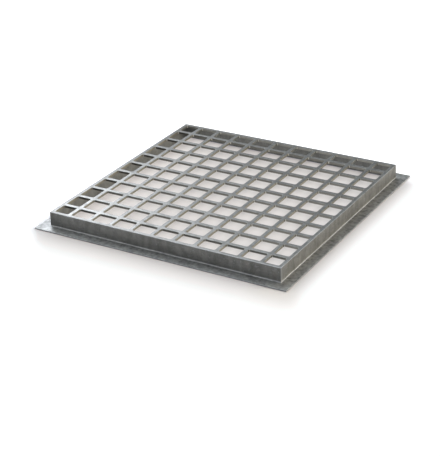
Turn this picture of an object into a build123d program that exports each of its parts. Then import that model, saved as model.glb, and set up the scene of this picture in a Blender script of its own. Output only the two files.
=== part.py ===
import os
from math import cos, radians, sin

from build123d import *

# A drain inlet grate of galvanised steel: a perforated plate set flush into a low square frame.
# The frame is four mitred lengths of folded sheet, each a wall with a flange turned outwards at its foot.
# Millimetres. The origin is at the centre of the underside, +Z up, with the front along -Y.

# Raised top, measured over the outer faces of the frame's walls
top_width = 324.0
top_depth = 324.0
overall_height = 20.0

# Frame sheet and its fold
frame_sheet = 1.5
flange_projection = 14.5
fold_radius = 1.5
cut_edge_round = 0.4
rim_round = 0.6

# Perforated plate
plate_thickness = 3.0
hole_side = 25.0
bar_width = 5.0
hole_corner_radius = 2.0
hole_corner_chords = 3
plate_border = 3.3
smallest_edge_hole = 10.0

# Sizes that follow from those above
hole_pitch = hole_side + bar_width
frame_reach = flange_projection + frame_sheet
overall_width = top_width + 2 * flange_projection
overall_depth = top_depth + 2 * flange_projection


def bar_centres(top_side):
    """Centre lines of the bars along one side of the top, evenly spaced about its middle."""
    outer_bar_inset = frame_sheet + plate_border + smallest_edge_hole + bar_width / 2
    whole_holes = int((top_side - 2 * outer_bar_inset) // hole_pitch)
    return [(step - whole_holes / 2) * hole_pitch for step in range(whole_holes + 1)]


def hole_spans(top_side):
    """Centre and width of each hole along one side: whole holes between bars, and a narrower one at each end."""
    centres = bar_centres(top_side)
    outer_hole_edge = top_side / 2 - frame_sheet - plate_border
    starts = [-outer_hole_edge] + [centre + bar_width / 2 for centre in centres]
    ends = [centre - bar_width / 2 for centre in centres] + [outer_hole_edge]
    return [((start + end) / 2, end - start) for start, end in zip(starts, ends)]


def hole_outline(width, depth):
    """A punched hole with rounded corners. Each corner's arc is drawn as a few chords, because there are so many."""
    points = []
    for quarter, (side_x, side_y) in enumerate([(1, 1), (-1, 1), (-1, -1), (1, -1)]):
        centre_x = side_x * (width / 2 - hole_corner_radius)
        centre_y = side_y * (depth / 2 - hole_corner_radius)
        for step in range(hole_corner_chords + 1):
            angle = radians(90 * (quarter + step / hole_corner_chords))
            x = centre_x + hole_corner_radius * cos(angle)
            y = centre_y + hole_corner_radius * sin(angle)
            points.append((x, y))
    return make_face(Polyline(*points, close=True))


def grate_plate():
    """The perforated plate: its cut edges butt against the insides of the walls, and its top is flush with theirs."""
    blank = Rectangle(top_width - 2 * frame_sheet, top_depth - 2 * frame_sheet)
    holes = [
        Pos(x, y) * hole_outline(width, depth)
        for x, width in hole_spans(top_width)
        for y, depth in hole_spans(top_depth)
    ]
    underside = overall_height - plate_thickness
    return Pos(0, 0, underside) * extrude(blank - holes, amount=plate_thickness)


def frame_section():
    """The folded section: x runs outwards from the wall's outer face, and y runs up from the underside."""
    heel = (-frame_sheet, 0)
    wall_top_inside = (-frame_sheet, overall_height)
    wall_top_outside = (0, overall_height)
    fold = (0, frame_sheet)
    flange_edge_top = (flange_projection, frame_sheet)
    flange_edge_bottom = (flange_projection, 0)
    corners = [heel, wall_top_inside, wall_top_outside, fold, flange_edge_top, flange_edge_bottom]
    section = make_face(Polyline(*corners, close=True))
    rounds = {
        fold: fold_radius,
        heel: fold_radius + frame_sheet,
        wall_top_outside: rim_round,
        flange_edge_top: cut_edge_round,
        flange_edge_bottom: cut_edge_round,
    }
    for corner, radius in rounds.items():
        nearest = section.vertices().sort_by_distance((*corner, 0))[0]
        section = fillet(nearest, radius)
    return section


def frame_length(tip_to_tip, wall_offset):
    """One length of the frame, along X with its flange towards -Y, and cut to 45 degrees at both ends."""
    across = Plane(origin=(0, -wall_offset, 0), x_dir=(0, -1, 0), z_dir=(-1, 0, 0))
    strip = extrude(across * frame_section(), amount=tip_to_tip / 2, both=True)
    outer_edge = -wall_offset - flange_projection
    inner_edge = outer_edge + frame_reach
    mitred_plan = make_face(
        Polyline(
            (-tip_to_tip / 2, outer_edge),
            (tip_to_tip / 2, outer_edge),
            (tip_to_tip / 2 - frame_reach, inner_edge),
            (-tip_to_tip / 2 + frame_reach, inner_edge),
            close=True,
        )
    )
    return strip & extrude(mitred_plan, amount=overall_height)


def frame_sides():
    """The four lengths of the frame, each turned to its own side."""
    lengthwise = frame_length(overall_width, top_depth / 2)
    crosswise = frame_length(overall_depth, top_width / 2)
    return {
        "frame_front": lengthwise,
        "frame_right": Rot(0, 0, 90) * crosswise,
        "frame_back": Rot(0, 0, 180) * lengthwise,
        "frame_left": Rot(0, 0, 270) * crosswise,
    }


os.makedirs("parts", exist_ok=True)
nodes = {"grate_plate": grate_plate(), **frame_sides()}
for name, shape in nodes.items():
    export_step(shape, f"parts/{name}.step")
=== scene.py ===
from math import cos, pi, radians, sin

import bmesh
import bpy
from mathutils import Matrix, Vector


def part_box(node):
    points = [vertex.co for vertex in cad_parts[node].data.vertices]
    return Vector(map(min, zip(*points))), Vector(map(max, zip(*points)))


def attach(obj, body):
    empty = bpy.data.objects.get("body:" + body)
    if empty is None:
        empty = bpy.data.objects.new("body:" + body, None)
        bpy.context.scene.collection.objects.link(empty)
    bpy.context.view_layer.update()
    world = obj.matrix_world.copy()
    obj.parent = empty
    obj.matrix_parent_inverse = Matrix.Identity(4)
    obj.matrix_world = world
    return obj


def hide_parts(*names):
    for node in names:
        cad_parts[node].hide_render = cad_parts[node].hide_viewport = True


# A galvanised drain inlet grate on a pale floor. Metres, in the frame of the solids: +Z up, front along -Y.
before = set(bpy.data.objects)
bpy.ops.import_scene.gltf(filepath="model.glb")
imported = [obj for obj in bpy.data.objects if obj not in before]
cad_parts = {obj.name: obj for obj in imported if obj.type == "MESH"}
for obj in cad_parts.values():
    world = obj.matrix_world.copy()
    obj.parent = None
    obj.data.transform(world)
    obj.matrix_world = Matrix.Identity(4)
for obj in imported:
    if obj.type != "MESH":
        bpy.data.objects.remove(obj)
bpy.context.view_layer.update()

MM = 0.001

# The plate and the frame, as the solids have them
plate_low, plate_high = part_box("grate_plate")
flange_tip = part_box("frame_right")[1].x
top_z = plate_high.z
underside_z = plate_low.z
wall_inside = plate_high.x
sheet = 1.5 * MM
wall_outside = wall_inside + sheet
flange = flange_tip - wall_outside
fold_radius = 1.5 * MM
hole_side = 25 * MM
bar_width = 5 * MM
hole_pitch = hole_side + bar_width
bars_across = 10
plate_border = 3.3 * MM
hole_corner_radius = 2 * MM

# Softened edges, too small for the solids
hole_edge_round = 0.35 * MM
hole_lower_round = 0.1 * MM
plate_edge_round = 0.1 * MM
cut_edge_round = 0.25 * MM
rim_round = 0.3 * MM
wall_corner_round = 0.25 * MM
seam_depth = 0.03 * MM
seam_half_width = 0.05 * MM

# Segments of each rounded form
hole_corner_segments = 6
edge_segments = 3
plate_edge_segments = 2
rim_segments = 5
fold_segments = 8
wall_corner_segments = 4

# Turns, and how meshes are joined and shaded
quarter_turn = pi / 2
mitre_turn = pi / 4
merge_distance = 1e-7
level_slack = 1e-9
round_profile = 0.5
normal_weight = 80

# Each face notes how much painted light, painted shading and painted glint it takes, from 0 for plain zinc
# to 1
looks_noted = ("worn", "dull", "glint")
# The share of a hole wall's painted light and shading that its rounded top edge takes
hole_edge_share = 0.3
# Painted highlights on the flange's cut edge, along the fold and on the rim
cut_edge_highlight = 0.5
fold_highlight = 0.35
rim_highlight = 1.0
# Painted shade on the top of the plate's border, towards its left
border_dullness = 0.62
# Painted light on the walls of the back row's holes, at the left and at the right
back_row_glint = (0.18, 0.34)

# The far left corner of each hole, step by step: a painted highlight towards the light, and below 0 a
# painted dark spot
corner_glint = [0, 0.5, 1, 0.8, -1, -1, 0]
least_glint = 0.1
glint_reach = 200 * MM
least_shade = 0.3
shade_reach = 130 * MM

# The painted light and shading that differ from side to side of the frame
rim_dullness = {"front": 0.93, "right": 0.1, "back": 0.55, "left": 0.5}
flange_dullness = {"front": 0, "right": 0, "back": 0, "left": 0.35}
inner_wall_light = {"front": 0, "right": 0, "back": 0.12, "left": 0}
inner_wall_glint = {"front": 0, "right": 0, "back": 0, "left": 0.07}
# Painted highlights on the rounded corner at each end of a length
left_end_highlight = {"front": 0.1, "right": 0.9, "back": 0.5, "left": 0.5}
right_end_highlight = 0.1

# Strips of painted light and shade near the left end of each side, as seen from outside: how far each
# reaches from the corner, and how strong it is. Each side takes its own measure of that strength.
left_strips = [(14 * MM, 0.08), (6 * MM, 0.12), (3.5 * MM, 0.22), (1.5 * MM, 0.36)]
strip_light = {"front": 0, "right": 1, "back": 0.3, "left": 0.3}
strip_dullness = {"front": 3.2, "right": 0, "back": 0, "left": 0}

# The zinc's patterns: the size, detail and roughness of each noise
noises = {
    "clouds": (28 * MM, 4, 0.6),
    "streaks": (7 * MM, 3, 0.55),
    "grain": (1.6 * MM, 3, 0.6),
    "patches": (5 * MM, 2, 0.5),
    "swell": (14 * MM, 2, 0.5),
    "specks": (2.6 * MM, 1, 0.5),
}
spangle_size = 9 * MM

# How much of the zinc's tone each pattern gives, and how the flange's tone departs from the rest
tone_shares = {"clouds": 0.32, "streaks": 0.38, "grain": 0.2, "spangle": 0.1}
middle_tone = 0.5
tone_range = (0.3, 0.7)
speck_range = (0.66, 0.74)
flange_faces_below = 2 * MM
flange_patchiness = 0.85
flange_lift = 0.09

# The zinc's surface: how far the roughness strays, and the strength and depth of its bumps
roughness_spread = 0.07
coat_roughness = 0.12
swell_bump = (0.25, 0.25 * MM)
grain_bump = (0.2, 0.05 * MM)

# The colours of the painted glint, on faces whose glint is above 0, and of the painted dark spot where it
# is below
glint_colour = (0.8, 0.79, 0.76)
shade_colour = (0.05, 0.048, 0.045)

# The places of the Mix node's colour sockets, which have the same names as its other ones
mix_first_colour = 6
mix_second_colour = 7
mixed_colour = 2

# The camera that took the photograph, fitted to the object's corners
sensor_long_side = 36.0
camera_lens = 106.57
camera_azimuth = radians(31.0025)
camera_elevation = radians(26.3726)
camera_roll = radians(-1.8229)
camera_distance = 1.73275
aim_right = -0.011766
aim_up = -0.033182

# Each lamp: azimuth from the front, elevation, spread, level, colour, and whether gloss sees it
lamps = {
    "Left key": (255, 45, 36, 1.12, (0.91, 1.01, 1.06), True),
    "Warm side": (135, 11, 55, 1.42, (1.13, 1.0, 0.75), True),
    "Warm back": (150, 20, 40, 0.7, (1.06, 1.0, 0.87), True),
    "Warm strip": (90, 20, 45, 0.36, (1.18, 1.0, 0.7), True),
    "Right window": (135, 28, 45, 1.05, (1.02, 1.0, 0.91), False),
    "Left window": (250, 36, 40, 0.95, (1.0, 1.0, 1.0), False),
    "Back window": (212, 31, 42, 1.05, (0.78, 1.0, 1.2), False),
}
lamp_distance = 3

# The gradient card behind the grate
card_left = -1.3
card_right = 0.7
card_behind = 0.6
card_bottom = 0.12
card_top = 1.0
card_slant = 0.5
card_grey_until = 0.42
card_bright_from = 1.15
card_curve = 1.8
card_grey = 0.115
card_bright = 7.0
card_colour = (0.97, 1.0, 1.045)

# The surround, which is white to what sees it directly and gives no light of its own
white = (1, 1, 1)
world_light = 0.0
white_strength = 1.0

# The open floor: its colour, and its glow to the camera, from the foot of the grate to far away. The low
# glow at the foot of the grate is a painted shadow, on top of the lamps' own shade
floor_reach = 8
floor_level = -0.05 * MM
floor_colour = (0.805, 0.762, 0.738)
floor_gloss_glow = (0.035, 0.034, 0.033)
floor_near_glow = (0.112, 0.094, 0.1)
floor_far_glow = (0.333, 0.357, 0.388)
floor_fade = 66 * MM

# The painted shadow near the front corner, a lower glow there, from one X to another
corner_near_glow = (0.04, 0.03, 0.035)
corner_blend = (122 * MM, 156 * MM)

# The painted shadow along the right side, a glow of its own that fades sooner, which takes over as X and Y
# together go from one value to another
right_near_glow = (0.05, 0.05, 0.078)
right_fade = 32 * MM
right_blend = (-10 * MM, 30 * MM)

# The left and back, where a brighter glow, painted light, takes away the floor's shade: from how far past
# the flange, and how much brighter
open_side_glow = 0.9
open_side_slant = 0.9
left_fade = (-13 * MM, 20 * MM)
back_fade = (-27 * MM, 13 * MM)

# The floor inside the frame, whose glow is a painted shade: painted light at its left, and a painted shadow
# of the lattice that leaves it brighter under the middle of each hole; its warm glow to gloss is a painted
# reflection in the walls
inner_floor_level = -0.02 * MM
inner_floor_colour = (0.35, 0.345, 0.34)
inner_floor_glow = (0.45, 0.42, 0.41)
inner_gloss_glow = (0.53, 0.5, 0.455)
inner_left_glow = 0.16
inner_left_fade = (75 * MM, 140 * MM)
lattice_shade_across = 0.09
lattice_shade_along = 0.12
lattice_light_x = 12.9 * MM
lattice_light_y = -1.7 * MM


def arc(centre, radius, start, end, segments):
    """Points along an arc, from one angle in degrees to another."""
    steps = [radians(start + (end - start) * step / segments) for step in range(segments + 1)]
    return [(centre[0] + radius * cos(angle), centre[1] + radius * sin(angle)) for angle in steps]


def finished_piece(name, bm, material, node):
    """Turns a mesh under construction into a smooth-shaded piece that stands for one node of the solids."""
    bmesh.ops.remove_doubles(bm, verts=bm.verts, dist=merge_distance)
    bmesh.ops.recalc_face_normals(bm, faces=bm.faces)
    mesh = bpy.data.meshes.new(name)
    bm.to_mesh(mesh)
    bm.free()
    mesh.shade_smooth()
    piece = bpy.data.objects.new(name, mesh)
    bpy.context.scene.collection.objects.link(piece)
    piece.data.materials.append(material)
    weighted = piece.modifiers.new("Weighted normals", "WEIGHTED_NORMAL")
    weighted.weight = normal_weight
    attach(piece, "root")
    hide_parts(node)
    return piece


def started_mesh():
    """A mesh under construction, whose faces note their looks."""
    bm = bmesh.new()
    for look in looks_noted:
        bm.faces.layers.float.new(look)
    return bm


def bridge(bm, first, second, **looks):
    """Joins two closed rings of vertices with quads, which note their looks, such as how much painted light
    they take.
    """
    count = len(first)
    for index in range(count):
        after = (index + 1) % count
        face = bm.faces.new((first[index], first[after], second[after], second[index]))
        for look, levels in looks.items():
            face[bm.faces.layers.float[look]] = levels[index]


def hole_spans():
    """Start and end of each hole along one side of the plate, between the edges of the cell it sits in."""
    first_bar = -(bars_across - 1) / 2 * hole_pitch
    centres = [first_bar + step * hole_pitch for step in range(bars_across)]
    cell_edges = [-wall_inside] + centres + [wall_inside]
    starts = [-wall_inside + plate_border] + [centre + bar_width / 2 for centre in centres]
    ends = [centre - bar_width / 2 for centre in centres] + [wall_inside - plate_border]
    return list(zip(cell_edges, starts, ends, cell_edges[1:]))


def hole_profile():
    """How far the hole's edge stands back and its height, down the plate, and how much of a wall it is."""
    upper_centre = (hole_edge_round, top_z - hole_edge_round)
    lower_centre = (hole_lower_round, underside_z + hole_lower_round)
    upper = arc(upper_centre, hole_edge_round, 90, 180, edge_segments)
    lower = arc(lower_centre, hole_lower_round, 180, 270, edge_segments)
    wall_shares = [0] + [hole_edge_share] * edge_segments + [1] * (edge_segments + 1) + [0]
    return upper + lower, wall_shares


def hole_ring(column, row, grow):
    """The hole's outline, grown by a distance, and where each of its points meets the edge of the cell."""
    left_cell, left, right, right_cell = column
    near_cell, near, far, far_cell = row
    corners = [
        (right, far, right_cell, far_cell, 1, 1),
        (left, far, left_cell, far_cell, -1, 1),
        (left, near, left_cell, near_cell, -1, -1),
        (right, near, right_cell, near_cell, 1, -1),
    ]
    ring = []
    cell_points = []
    for quarter, (x_edge, y_edge, x_cell, y_cell, side_x, side_y) in enumerate(corners):
        centre_x = x_edge - side_x * hole_corner_radius
        centre_y = y_edge - side_y * hole_corner_radius
        for step in range(hole_corner_segments + 1):
            angle = quarter_turn * (quarter + step / hole_corner_segments)
            along_x = cos(angle)
            along_y = sin(angle)
            reach = hole_corner_radius + grow
            ring.append((centre_x + reach * along_x, centre_y + reach * along_y))
            wall_x = centre_x + hole_corner_radius * along_x
            wall_y = centre_y + hole_corner_radius * along_y
            nearer_x = abs(along_x) > abs(along_y) + level_slack
            nearer_y = abs(along_y) > abs(along_x) + level_slack
            cell_points.append((wall_x if nearer_y else x_cell, wall_y if nearer_x else y_cell))
    return ring, cell_points


def hole_ring_glint(x, y):
    """For each step round a hole, its painted glint: its far left corner has a painted highlight and a
    painted dark spot.
    """
    bright = min(1, max(least_glint, (x + y + glint_reach) / glint_reach))
    dark = min(1, max(least_shade, (x + shade_reach) / (2 * shade_reach)))
    plain = [0] * (hole_corner_segments + 1)
    corner = [level * (bright if level > 0 else dark) for level in corner_glint]
    return plain + corner + plain + plain


def hole_ring_facing():
    """For each step round a hole, how far its wall faces sideways rather than forwards or backwards."""
    facing = []
    for quarter in range(4):
        steps = [(step + 0.5) / hole_corner_segments for step in range(hole_corner_segments)]
        facing += [cos(quarter_turn * (quarter + step)) ** 2 for step in steps + [1]]
    return facing


def back_row_shine(x):
    """How much painted light the walls of the back row's holes take, more towards the right."""
    at_left, at_right = back_row_glint
    return at_left + (at_right - at_left) * (x + wall_inside) / (2 * wall_inside)


def hole_looks(column, row, share, in_back_row):
    """The painted light, shading and glint of one ring of faces down a hole, of which a share belongs to
    the hole's wall. Walls that face sideways take painted light, those that face forwards and backwards
    painted shading, and the back row takes painted light instead.
    """
    facing = hole_ring_facing()
    light_levels = [share * sideways for sideways in facing]
    dullness = [share * (1 - sideways) for sideways in facing]
    glint = [share * level for level in hole_ring_glint(column[1], row[2])]
    if in_back_row:
        light_levels = [0] * len(facing)
        dullness = [0] * len(facing)
        glint = [level or share * back_row_shine(column[1]) for level in glint]
    return {"worn": light_levels, "dull": dullness, "glint": glint}


def add_hole(bm, column, row, in_back_row):
    """One cell of the plate, with its top, the rounded hole through it and its underside."""
    profile, wall_shares = hole_profile()
    cell_points = hole_ring(column, row, 0)[1]
    rings = [[bm.verts.new((x, y, top_z)) for x, y in cell_points]]
    for grow, height in profile:
        ring = hole_ring(column, row, grow)[0]
        rings.append([bm.verts.new((x, y, height)) for x, y in ring])
    rings.append([bm.verts.new((x, y, underside_z)) for x, y in cell_points])
    for first, second, share in zip(rings, rings[1:], wall_shares):
        bridge(bm, first, second, **hole_looks(column, row, share, in_back_row))


def dull_the_border(bm):
    """Paints shade on the top of the plate's border, more towards the left."""
    dull = bm.faces.layers.float["dull"]
    for face in bm.faces:
        middle = face.calc_center_median()
        in_border = max(abs(middle.x), abs(middle.y)) > wall_inside - plate_border
        on_top = middle.z > top_z - hole_lower_round
        if in_border and on_top:
            face[dull] = border_dullness * (wall_inside - middle.x) / (2 * wall_inside)


def plate_piece(material):
    """The perforated plate, with every hole's corners and edges rounded."""
    bm = started_mesh()
    spans = hole_spans()
    for column in spans:
        for row in spans:
            add_hole(bm, column, row, row is spans[-1])
    dull_the_border(bm)
    bmesh.ops.remove_doubles(bm, verts=bm.verts, dist=merge_distance)
    open_edges = [edge for edge in bm.edges if edge.is_boundary]
    bmesh.ops.bridge_loops(bm, edges=open_edges)
    rim = [edge for edge in open_edges if edge.is_valid]
    bmesh.ops.bevel(
        bm,
        geom=rim,
        offset=plate_edge_round,
        segments=plate_edge_segments,
        profile=round_profile,
        affect="EDGES",
    )
    return finished_piece("perforated_plate", bm, material, "grate_plate")


def stepped(points, level=0, after=0):
    """One level for each step of an arc, and another for the flat face that follows it."""
    return [level] * (len(points) - 1) + [after]


def frame_outline(side):
    """The frame's section, u outwards from the wall's outer face and z up, and the painted light and
    shading of each step.
    """
    heel_radius = fold_radius + sheet
    flange_edge = flange - cut_edge_round
    heel = arc((-sheet + heel_radius, heel_radius), heel_radius, 180, 270, fold_segments)
    lower_cut = arc((flange_edge, cut_edge_round), cut_edge_round, 270, 360, edge_segments)
    upper_cut = arc((flange_edge, sheet - cut_edge_round), cut_edge_round, 0, 90, edge_segments)
    fold = arc((fold_radius, sheet + fold_radius), fold_radius, 270, 180, fold_segments)
    rim = arc((-rim_round, top_z - rim_round), rim_round, 0, 90, rim_segments)
    inner_centre = (-sheet + plate_edge_round, top_z - plate_edge_round)
    inner_edge = arc(inner_centre, plate_edge_round, 90, 180, edge_segments)

    fold_quarter = [0] * (fold_segments // 4)
    fold_middle = [fold_highlight] * (fold_segments - 2 * len(fold_quarter))
    rim_below = rim_segments // 2
    rim_above = rim_segments - rim_below
    parts = [
        (heel, stepped(heel), stepped(heel)),
        (lower_cut, stepped(lower_cut, cut_edge_highlight, cut_edge_highlight), stepped(lower_cut)),
        (upper_cut, stepped(upper_cut, cut_edge_highlight), stepped(upper_cut, 0, flange_dullness[side])),
        (fold, fold_quarter + fold_middle + fold_quarter + [0], stepped(fold)),
        (
            rim,
            [0] * rim_below + [rim_highlight] * rim_above + [0],
            [rim_dullness[side]] * rim_below + [0] * rim_above + [rim_dullness[side]],
        ),
        (inner_edge, stepped(inner_edge, 0, inner_wall_light[side]), stepped(inner_edge)),
    ]
    outline = []
    light_levels = []
    dullness = []
    for points, part_light, part_dullness in parts:
        outline += points
        light_levels += part_light
        dullness += part_dullness
    return outline, light_levels, dullness


def outside_shares(outline):
    """For each point of the section, how far it takes part in what an end does to the wall's outer face."""
    shares = []
    for u, z in outline:
        on_outside = u > -sheet / 2 and z > sheet + cut_edge_round
        up_the_fold = min(1, max(0, (z - sheet) / fold_radius))
        shares.append(up_the_fold if on_outside else 0)
    return shares


def inward(outline, distance):
    """The closed outline moved inwards by a distance, square to its own direction."""
    moved = []
    count = len(outline)
    for index, point in enumerate(outline):
        before = Vector(outline[index - 1])
        after = Vector(outline[(index + 1) % count])
        along = (after - before).normalized()
        moved.append((point[0] - along.y * distance, point[1] + along.x * distance))
    return moved


def frame_stations(outline, shares):
    """Sections along one frame length, from the middle to one end: lists of (x, u, z)."""
    sections = [[(0, u, z) for u, z in outline]]
    for from_corner, _ in left_strips:
        sections.append([(wall_outside + u - from_corner, u, z) for u, z in outline])
    for step in range(wall_corner_segments + 1):
        angle = mitre_turn * step / wall_corner_segments
        from_end = wall_corner_round * (sin(mitre_turn) - sin(angle)) + seam_half_width
        section = []
        for (u, z), share in zip(outline, shares):
            end_u = u - share * wall_corner_round * (1 - cos(mitre_turn))
            here_u = u - share * wall_corner_round * (1 - cos(angle))
            section.append((wall_outside + end_u - from_end, here_u, z))
        sections.append(section)
    last = sections[-1]
    sunk = inward([(u, z) for _, u, z in last], seam_depth)
    sections.append([(wall_outside + u, u, z) for u, z in sunk])
    return sections


def at_least(levels, lowest, shares):
    """The levels of a section's steps, raised to a lowest one as far as each step's share of it goes."""
    return [max(level, lowest * share) for level, share in zip(levels, shares)]


def looks_along(side, light_levels, dullness, shares):
    """How much painted light and painted shading each step from the left end of a frame length to the right
    one takes.
    """
    strip_levels = [level for _, level in reversed(left_strips)]
    left_end = (
        at_least(light_levels, left_end_highlight[side], shares),
        at_least(dullness, strip_dullness[side] * strip_levels[0], shares),
    )
    right_end = (at_least(light_levels, right_end_highlight, shares), dullness)
    corner_steps = wall_corner_segments + 1
    plain_steps = len(left_strips) + 2
    along = [left_end] * corner_steps
    for level in strip_levels:
        strip_worn = at_least(light_levels, strip_light[side] * level, shares)
        strip_dull = at_least(dullness, strip_dullness[side] * level, shares)
        along.append((strip_worn, strip_dull))
    return along + [(light_levels, dullness)] * plain_steps + [right_end] * corner_steps


def frame_piece(side, turn, material):
    """One mitred length of the folded frame, made along the front and turned to its own side."""
    outline, light_levels, dullness = frame_outline(side)
    shares = outside_shares(outline)
    glint = stepped(outline, 0, inner_wall_glint[side])
    half = frame_stations(outline, shares)
    mirrored = [[(-x, u, z) for x, u, z in section] for section in reversed(half[1:])]
    bm = started_mesh()
    rings = []
    for section in mirrored + half:
        rings.append([bm.verts.new((x, -wall_outside - u, z)) for x, u, z in section])
    looks = looks_along(side, light_levels, dullness, shares)
    # Each ring of faces takes its painted light, painted shading and painted glint
    for first, second, (step_light, step_dullness) in zip(rings, rings[1:], looks):
        bridge(bm, first, second, worn=step_light, dull=step_dullness, glint=glint)
    bm.faces.new(rings[0])
    bm.faces.new(rings[-1])
    bmesh.ops.rotate(bm, verts=bm.verts, cent=(0, 0, 0), matrix=Matrix.Rotation(turn, 3, "Z"))
    return finished_piece(f"folded_{side}", bm, material, f"frame_{side}")


class Nodes:
    """A short way to add and join the nodes of one material or world."""

    def __init__(self, tree):
        self.tree = tree
        self.tree.nodes.clear()

    def add(self, kind, values=None, **settings):
        node = self.tree.nodes.new(kind)
        for name, value in settings.items():
            setattr(node, name, value)
        for name, value in (values or {}).items():
            node.inputs[name].default_value = value
        return node

    def join(self, source, target):
        self.tree.links.new(source, target)

    def fill(self, socket, value):
        """Joins a socket to another one, or sets it to a number or a colour."""
        if isinstance(value, bpy.types.NodeSocket):
            self.join(value, socket)
        else:
            socket.default_value = value


def new_material(name):
    """An empty material and its nodes."""
    material = bpy.data.materials.new(name)
    material.use_nodes = True
    return material, Nodes(material.node_tree)


def object_place(nodes):
    """The place of each point of a surface, as one vector and as X, Y and Z."""
    place = nodes.add("ShaderNodeTexCoord").outputs["Object"]
    split = nodes.add("ShaderNodeSeparateXYZ")
    nodes.join(place, split.inputs["Vector"])
    return place, split.outputs["X"], split.outputs["Y"], split.outputs["Z"]


def math_node(nodes, operation, first, second=0):
    """The result of an operation on one or two values, each a socket or a number."""
    node = nodes.add("ShaderNodeMath", operation=operation)
    nodes.fill(node.inputs[0], first)
    nodes.fill(node.inputs[1], second)
    return node.outputs[0]


def mapped(nodes, value, low, high, at_low=0, at_high=1, kind="LINEAR"):
    """A value between two ends, as another goes from low to high, and held at the ends past them."""
    ends = {"From Min": low, "From Max": high, "To Min": at_low, "To Max": at_high}
    node = nodes.add("ShaderNodeMapRange", ends, interpolation_type=kind)
    nodes.join(value, node.inputs["Value"])
    return node.outputs["Result"]


def smooth_range(nodes, value, low, high):
    """0 up to the low end of a range, 1 from its high end, and smooth between."""
    return mapped(nodes, value, low, high, kind="SMOOTHSTEP")


def colour_mix(nodes, share, first, second):
    """Between two colours, each a socket or three numbers."""
    mix = nodes.add("ShaderNodeMix", data_type="RGBA")
    nodes.join(share, mix.inputs["Factor"])
    for index, colour in ((mix_first_colour, first), (mix_second_colour, second)):
        in_full = colour if isinstance(colour, bpy.types.NodeSocket) else (*colour, 1)
        nodes.fill(mix.inputs[index], in_full)
    return mix.outputs[mixed_colour]


def zinc_pattern(nodes, place, kind):
    """One of the zinc's noises, at a place."""
    size, detail, roughness = noises[kind]
    settings = {"Scale": 1 / size, "Detail": detail, "Roughness": roughness}
    texture = nodes.add("ShaderNodeTexNoise", settings)
    nodes.join(place, texture.inputs["Vector"])
    return texture.outputs["Fac"]


def zinc_spangle(nodes, place):
    """A tone of its own for each grain of the zinc's spangle."""
    spangle = nodes.add("ShaderNodeTexVoronoi", {"Scale": 1 / spangle_size, "Randomness": 1.0})
    nodes.join(place, spangle.inputs["Vector"])
    tone = nodes.add("ShaderNodeSeparateColor")
    nodes.join(spangle.outputs["Color"], tone.inputs["Color"])
    return tone.outputs["Red"]


def zinc_tone(nodes, place, grain, on_flange, streak):
    """The zinc's tone: clouds, upright streaks, grain and spangle, and patches that only the flange has."""
    stretched = nodes.add("ShaderNodeMapping", {"Scale": (1, 1, streak)})
    nodes.join(place, stretched.inputs["Vector"])
    patterns = {
        "clouds": zinc_pattern(nodes, place, "clouds"),
        "streaks": zinc_pattern(nodes, stretched.outputs["Vector"], "streaks"),
        "grain": grain,
        "spangle": zinc_spangle(nodes, place),
    }
    parts = [math_node(nodes, "MULTIPLY", pattern, tone_shares[kind]) for kind, pattern in patterns.items()]
    tone = parts[0]
    for part in parts[1:]:
        tone = math_node(nodes, "ADD", tone, part)
    patches = math_node(nodes, "SUBTRACT", zinc_pattern(nodes, place, "patches"), middle_tone - flange_lift)
    flange_patches = math_node(nodes, "MULTIPLY", patches, on_flange)
    return math_node(nodes, "ADD", tone, math_node(nodes, "MULTIPLY", flange_patches, flange_patchiness))


def tone_colour(nodes, tone, dark, light, contrast):
    """The zinc's colour for a tone. It goes on past the light end at the same rate, by half the range."""
    lightest = [high + (high - low) / 2 for low, high in zip(dark, light)]
    ramp = nodes.add("ShaderNodeValToRGB")
    stops = ramp.color_ramp.elements
    stops[0].position = middle_tone - contrast
    stops[0].color = (*dark, 1)
    stops[1].position = middle_tone + contrast
    stops[1].color = (*light, 1)
    stops.new(middle_tone + 2 * contrast).color = (*lightest, 1)
    nodes.join(tone, ramp.inputs["Fac"])
    return ramp.outputs["Color"]


def across_the_top(nodes, x, colours):
    """A colour that changes along X, from the left wall of the frame to the right one."""
    at_left, at_right = colours
    return colour_mix(nodes, mapped(nodes, x, -wall_inside, wall_inside), at_left, at_right)


def mixed_by_face(nodes, look, base, over, turned=1):
    """The base colour, with another over it as far as the look that each face notes."""
    noted = nodes.add("ShaderNodeAttribute", attribute_name=look)
    share = math_node(nodes, "MULTIPLY", noted.outputs["Fac"], turned)
    return colour_mix(nodes, share, base, over)


def zinc_roughness(nodes, tone, on_flange, roughness, worn_roughness):
    """The zinc's roughness, lower where its tone is lighter, and higher on the flange and on faces with
    painted light.
    """
    low, high = tone_range
    plain = mapped(nodes, tone, low, high, roughness + roughness_spread, roughness - roughness_spread)
    worn = nodes.add("ShaderNodeAttribute", attribute_name="worn").outputs["Fac"]
    roughened = math_node(nodes, "MULTIPLY", math_node(nodes, "MAXIMUM", on_flange, worn), worn_roughness)
    return math_node(nodes, "ADD", plain, roughened)


def zinc_bumps(nodes, place, grain):
    """A slow swell of the surface with fine grain on it."""
    swell = zinc_pattern(nodes, place, "swell")
    normal = None
    for height, (strength, depth) in ((swell, swell_bump), (grain, grain_bump)):
        bump = nodes.add("ShaderNodeBump", {"Strength": strength, "Distance": depth})
        nodes.join(height, bump.inputs["Height"])
        if normal:
            nodes.join(normal, bump.inputs["Normal"])
        normal = bump.outputs["Normal"]
    return normal


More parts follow.
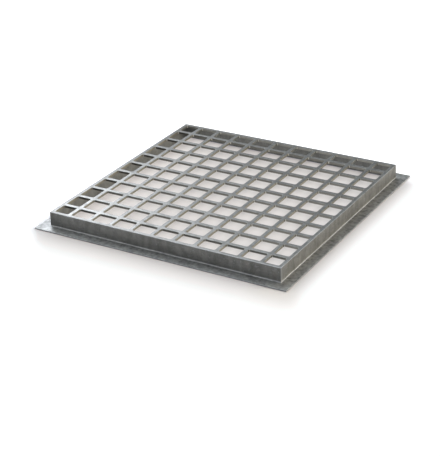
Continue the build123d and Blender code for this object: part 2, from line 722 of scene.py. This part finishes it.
def zinc_material(
    name,
    dark,
    light,
    worn,
    dull,
    contrast,
    specks,
    roughness,
    worn_roughness,
    metallic,
    streak,
    coat,
):
    """Galvanised steel: clouded grey, faint spangle, fine grain and, on folded sheet, upright streaks."""
    material, nodes = new_material(name)
    place, x, _, z = object_place(nodes)
    grain = zinc_pattern(nodes, place, "grain")
    on_flange = math_node(nodes, "LESS_THAN", z, flange_faces_below)
    tone = zinc_tone(nodes, place, grain, on_flange, streak)

    colour = tone_colour(nodes, tone, dark, light, contrast)
    speck_share = mapped(nodes, zinc_pattern(nodes, place, "specks"), *speck_range, at_high=specks)
    colour = colour_mix(nodes, speck_share, colour, worn[1])
    # Painted shading and painted light on the faces that note them, then the painted glint in the holes'
    # corners and, below 0, its painted dark spot
    colour = mixed_by_face(nodes, "dull", colour, across_the_top(nodes, x, dull))
    colour = mixed_by_face(nodes, "worn", colour, across_the_top(nodes, x, worn))
    colour = mixed_by_face(nodes, "glint", colour, glint_colour)
    colour = mixed_by_face(nodes, "glint", colour, shade_colour, turned=-1)

    surface = nodes.add(
        "ShaderNodeBsdfPrincipled",
        {"Metallic": metallic, "Coat Weight": coat, "Coat Roughness": coat_roughness},
    )
    nodes.join(colour, surface.inputs["Base Color"])
    rough = zinc_roughness(nodes, tone, on_flange, roughness, worn_roughness)
    nodes.join(rough, surface.inputs["Roughness"])
    nodes.join(zinc_bumps(nodes, place, grain), surface.inputs["Normal"])
    output = nodes.add("ShaderNodeOutputMaterial")
    nodes.join(surface.outputs["BSDF"], output.inputs["Surface"])
    return material


def seen_directly(nodes):
    """1 for rays from the camera, from gloss and through glass, and 0 for the rest."""
    path = nodes.add("ShaderNodeLightPath").outputs
    camera_or_gloss = math_node(nodes, "MAXIMUM", path["Is Camera Ray"], path["Is Glossy Ray"])
    return math_node(nodes, "MAXIMUM", camera_or_gloss, path["Is Transmission Ray"])


def make_world(strength):
    """A background that is white to what sees it directly, and lights the object at a given strength."""
    world = bpy.data.worlds.new("Studio")
    bpy.context.scene.world = world
    world.use_nodes = True
    nodes = Nodes(world.node_tree)
    light = nodes.add("ShaderNodeBackground", {"Color": (*white, 1), "Strength": strength})
    backdrop = nodes.add("ShaderNodeBackground", {"Color": (*white, 1), "Strength": white_strength})
    mix = nodes.add("ShaderNodeMixShader")
    nodes.join(seen_directly(nodes), mix.inputs["Fac"])
    nodes.join(light.outputs["Background"], mix.inputs[1])
    nodes.join(backdrop.outputs["Background"], mix.inputs[2])
    output = nodes.add("ShaderNodeOutputWorld")
    nodes.join(mix.outputs["Shader"], output.inputs["Surface"])


def distance_from_grate(nodes, x, y):
    """How far a place on the floor is from the edge of the flange, round its corners too."""
    squares = []
    for value in (x, y):
        past_edge = math_node(nodes, "SUBTRACT", math_node(nodes, "ABSOLUTE", value), flange_tip)
        squares.append(math_node(nodes, "POWER", math_node(nodes, "MAXIMUM", past_edge, 0), 2))
    return math_node(nodes, "SQRT", math_node(nodes, "ADD", *squares))


def open_sides(nodes, x, y, from_grate):
    """1 on the floor past the left and back of the grate, where painted light hides its shade, and 0
    elsewhere.
    """
    slanting = math_node(nodes, "MULTIPLY", from_grate, open_side_slant)
    to_left = math_node(nodes, "SUBTRACT", slanting, x)
    past_left = smooth_range(nodes, to_left, flange_tip + left_fade[0], flange_tip + left_fade[1])
    to_back = math_node(nodes, "ADD", slanting, y)
    past_back = smooth_range(nodes, to_back, flange_tip + back_fade[0], flange_tip + back_fade[1])
    return math_node(nodes, "MAXIMUM", past_left, past_back)


def open_floor_colour(nodes, x, y, from_grate, at_open_side):
    """The open floor's glow, low at the foot of the grate as a painted shadow, with a painted shadow of its
    own near the front corner and along the right side.
    """
    front_fade = smooth_range(nodes, from_grate, 0, floor_fade)
    front_share = math_node(nodes, "MAXIMUM", front_fade, at_open_side)
    at_corner = smooth_range(nodes, x, *corner_blend)
    near_glow = colour_mix(nodes, at_corner, floor_near_glow, corner_near_glow)
    front = colour_mix(nodes, front_share, near_glow, floor_far_glow)
    quicker_fade = smooth_range(nodes, from_grate, 0, right_fade)
    right_share = math_node(nodes, "MAXIMUM", quicker_fade, at_open_side)
    right = colour_mix(nodes, right_share, right_near_glow, floor_far_glow)
    on_right = smooth_range(nodes, math_node(nodes, "ADD", x, y), *right_blend)
    return colour_mix(nodes, on_right, front, right)


def open_glow(nodes, x, y):
    """The colour and level of the open floor's glow, brighter past the left and back of the grate, where it
    paints out the shade.
    """
    from_grate = distance_from_grate(nodes, x, y)
    at_open_side = open_sides(nodes, x, y, from_grate)
    colour = open_floor_colour(nodes, x, y, from_grate, at_open_side)
    level = math_node(nodes, "ADD", math_node(nodes, "MULTIPLY", at_open_side, open_side_glow), 1)
    return colour, level


def wave(nodes, value, middle, depth):
    """A wave that repeats with the spacing of the holes, and is highest at a place."""
    from_middle = math_node(nodes, "SUBTRACT", value, middle)
    angle = math_node(nodes, "MULTIPLY", from_middle, 2 * pi / hole_pitch)
    return math_node(nodes, "MULTIPLY", math_node(nodes, "COSINE", angle), depth)


def inner_glow(nodes, x, y):
    """The colour and level of the inner floor's glow, which paints light at the left and the lattice's
    shadow between the holes, so that it is higher at the left and under each hole.
    """
    at_left = smooth_range(nodes, math_node(nodes, "MULTIPLY", x, -1), *inner_left_fade)
    level = math_node(nodes, "ADD", math_node(nodes, "MULTIPLY", at_left, inner_left_glow), 1)
    level = math_node(nodes, "ADD", level, wave(nodes, x, lattice_light_x, lattice_shade_across))
    level = math_node(nodes, "ADD", level, wave(nodes, y, lattice_light_y, lattice_shade_along))
    return (*inner_floor_glow, 1), level


def floor_material(name, colour, gloss_glow, camera_glow):
    """A pale floor, with a glow of its own to the camera, which a function gives, and another to gloss."""
    material, nodes = new_material(name)
    _, x, y, _ = object_place(nodes)
    path = nodes.add("ShaderNodeLightPath").outputs
    glow, level = camera_glow(nodes, x, y)
    to_camera = nodes.add("ShaderNodeEmission")
    nodes.fill(to_camera.inputs["Color"], glow)
    nodes.join(math_node(nodes, "MULTIPLY", path["Is Camera Ray"], level), to_camera.inputs["Strength"])
    to_gloss = nodes.add("ShaderNodeEmission", {"Color": (*gloss_glow, 1)})
    in_gloss = math_node(nodes, "MAXIMUM", path["Is Glossy Ray"], path["Is Transmission Ray"])
    nodes.join(in_gloss, to_gloss.inputs["Strength"])
    diffuse = nodes.add("ShaderNodeBsdfDiffuse", {"Color": (*colour, 1)})
    shader = diffuse.outputs["BSDF"]
    for shine in (to_camera, to_gloss):
        both = nodes.add("ShaderNodeAddShader")
        nodes.join(shader, both.inputs[0])
        nodes.join(shine.outputs["Emission"], both.inputs[1])
        shader = both.outputs["Shader"]
    output = nodes.add("ShaderNodeOutputMaterial")
    nodes.join(shader, output.inputs["Surface"])
    return material


def flat_square(name, corners, material):
    """One flat face between four corners."""
    mesh = bpy.data.meshes.new(name)
    mesh.from_pydata(corners, [], [(0, 1, 2, 3)])
    square = bpy.data.objects.new(name, mesh)
    square.data.materials.append(material)
    bpy.context.scene.collection.objects.link(square)
    return square


def lay_floor(name, reach, level, material):
    """A square of floor about the grate, at a level."""
    corners = [
        (-reach, -reach, level),
        (reach, -reach, level),
        (reach, reach, level),
        (-reach, reach, level),
    ]
    floor = flat_square(name, corners, material)


def make_floor():
    """A large pale floor, and the part of it inside the frame, which has a painted shade and glow of its
    own.
    """
    open_floor = floor_material("Floor", floor_colour, floor_gloss_glow, open_glow)
    lay_floor("Floor", floor_reach, floor_level, open_floor)
    inner_floor = floor_material("Inner floor", inner_floor_colour, inner_gloss_glow, inner_glow)
    lay_floor("Inner floor", wall_inside + sheet / 2, inner_floor_level, inner_floor)


def card_material():
    """A light that is grey up to a slanting line, and brighter and brighter past it towards the left."""
    material, nodes = new_material("Gradient card")
    _, x, _, z = object_place(nodes)
    leftwards = math_node(nodes, "MULTIPLY", x, -1)
    upwards = math_node(nodes, "MULTIPLY", z, card_slant)
    across = math_node(nodes, "ADD", leftwards, upwards)
    level = mapped(nodes, across, card_grey_until, card_bright_from)
    curved = math_node(nodes, "POWER", level, card_curve)
    scaled = math_node(nodes, "MULTIPLY", curved, card_bright - card_grey)
    shine = nodes.add("ShaderNodeEmission", {"Color": (*card_colour, 1)})
    nodes.join(math_node(nodes, "ADD", scaled, card_grey), shine.inputs["Strength"])
    output = nodes.add("ShaderNodeOutputMaterial")
    nodes.join(shine.outputs["Emission"], output.inputs["Surface"])
    return material


def make_gradient_card():
    """A tall card behind the grate, grey on its right and bright on its left, which the top reflects."""
    corners = [
        (card_left, card_behind, card_bottom),
        (card_right, card_behind, card_bottom),
        (card_right, card_behind, card_top),
        (card_left, card_behind, card_top),
    ]
    card = flat_square("Gradient card", corners, card_material())
    card.visible_camera = False
    card.visible_shadow = False
    card.visible_diffuse = False


def towards(azimuth, elevation):
    """The direction from the object to something at that azimuth from the front, and that elevation."""
    return Vector((sin(azimuth) * cos(elevation), -cos(azimuth) * cos(elevation), sin(elevation)))


def make_lights():
    """Soft lamps round the grate. Those that are named as windows stay out of the metal's gloss."""
    for name, (azimuth, elevation, spread, level, colour, in_gloss) in lamps.items():
        data = bpy.data.lights.new(name, "SUN")
        data.energy = level
        data.angle = radians(spread)
        data.color = colour
        lamp = bpy.data.objects.new(name, data)
        direction = towards(radians(azimuth), radians(elevation))
        lamp.location = direction * lamp_distance
        lamp.rotation_mode = "QUATERNION"
        lamp.rotation_quaternion = direction.to_track_quat("Z", "Y")
        lamp.visible_glossy = in_gloss
        bpy.context.scene.collection.objects.link(lamp)


def make_camera():
    """The photograph's view."""
    back = towards(camera_azimuth, camera_elevation)
    level_right = Vector((cos(camera_azimuth), sin(camera_azimuth), 0))
    level_up = back.cross(level_right)
    right = level_right * cos(camera_roll) + level_up * sin(camera_roll)
    up = level_up * cos(camera_roll) - level_right * sin(camera_roll)
    place = level_right * aim_right + level_up * aim_up + back * camera_distance
    data = bpy.data.cameras.new("Camera")
    data.lens = camera_lens
    data.sensor_width = sensor_long_side
    camera = bpy.data.objects.new("Camera", data)
    turn = Matrix((right, up, back)).transposed().to_4x4()
    camera.matrix_world = Matrix.Translation(place) @ turn
    bpy.context.scene.collection.objects.link(camera)
    bpy.context.scene.camera = camera


# The grate. Colours in pairs are those at the left and the right of the top. The painted light and painted
# shading colours stand in for light and shade.
plate_zinc = zinc_material(
    "Plate zinc",
    dark=(0.19, 0.1935, 0.1925),
    light=(0.31, 0.3145, 0.3115),
    worn=((0.31, 0.285, 0.238), (0.36, 0.338, 0.292)),
    dull=((0.145, 0.144, 0.139), (0.35, 0.346, 0.333)),
    contrast=0.1,
    specks=0,
    roughness=0.36,
    worn_roughness=0,
    metallic=0.65,
    streak=1.0,
    coat=0,
)
sheet_zinc = zinc_material(
    "Sheet zinc",
    dark=(0.164, 0.166, 0.165),
    light=(0.306, 0.31, 0.309),
    worn=((0.46, 0.48, 0.51), (0.44, 0.47, 0.53)),
    dull=((0.14, 0.139, 0.136), (0.36, 0.358, 0.352)),
    contrast=0.14,
    specks=0.35,
    roughness=0.42,
    worn_roughness=0.08,
    metallic=0.55,
    streak=0.3,
    coat=0.03,
)
plate_piece(plate_zinc)
sides = [("front", 0), ("right", 90), ("back", 180), ("left", 270)]
for side, degrees_round in sides:
    frame_piece(side, radians(degrees_round), sheet_zinc)

# The studio
make_world(world_light)
make_floor()
make_gradient_card()
make_lights()
make_camera()
bpy.context.scene.view_settings.view_transform = "Standard"
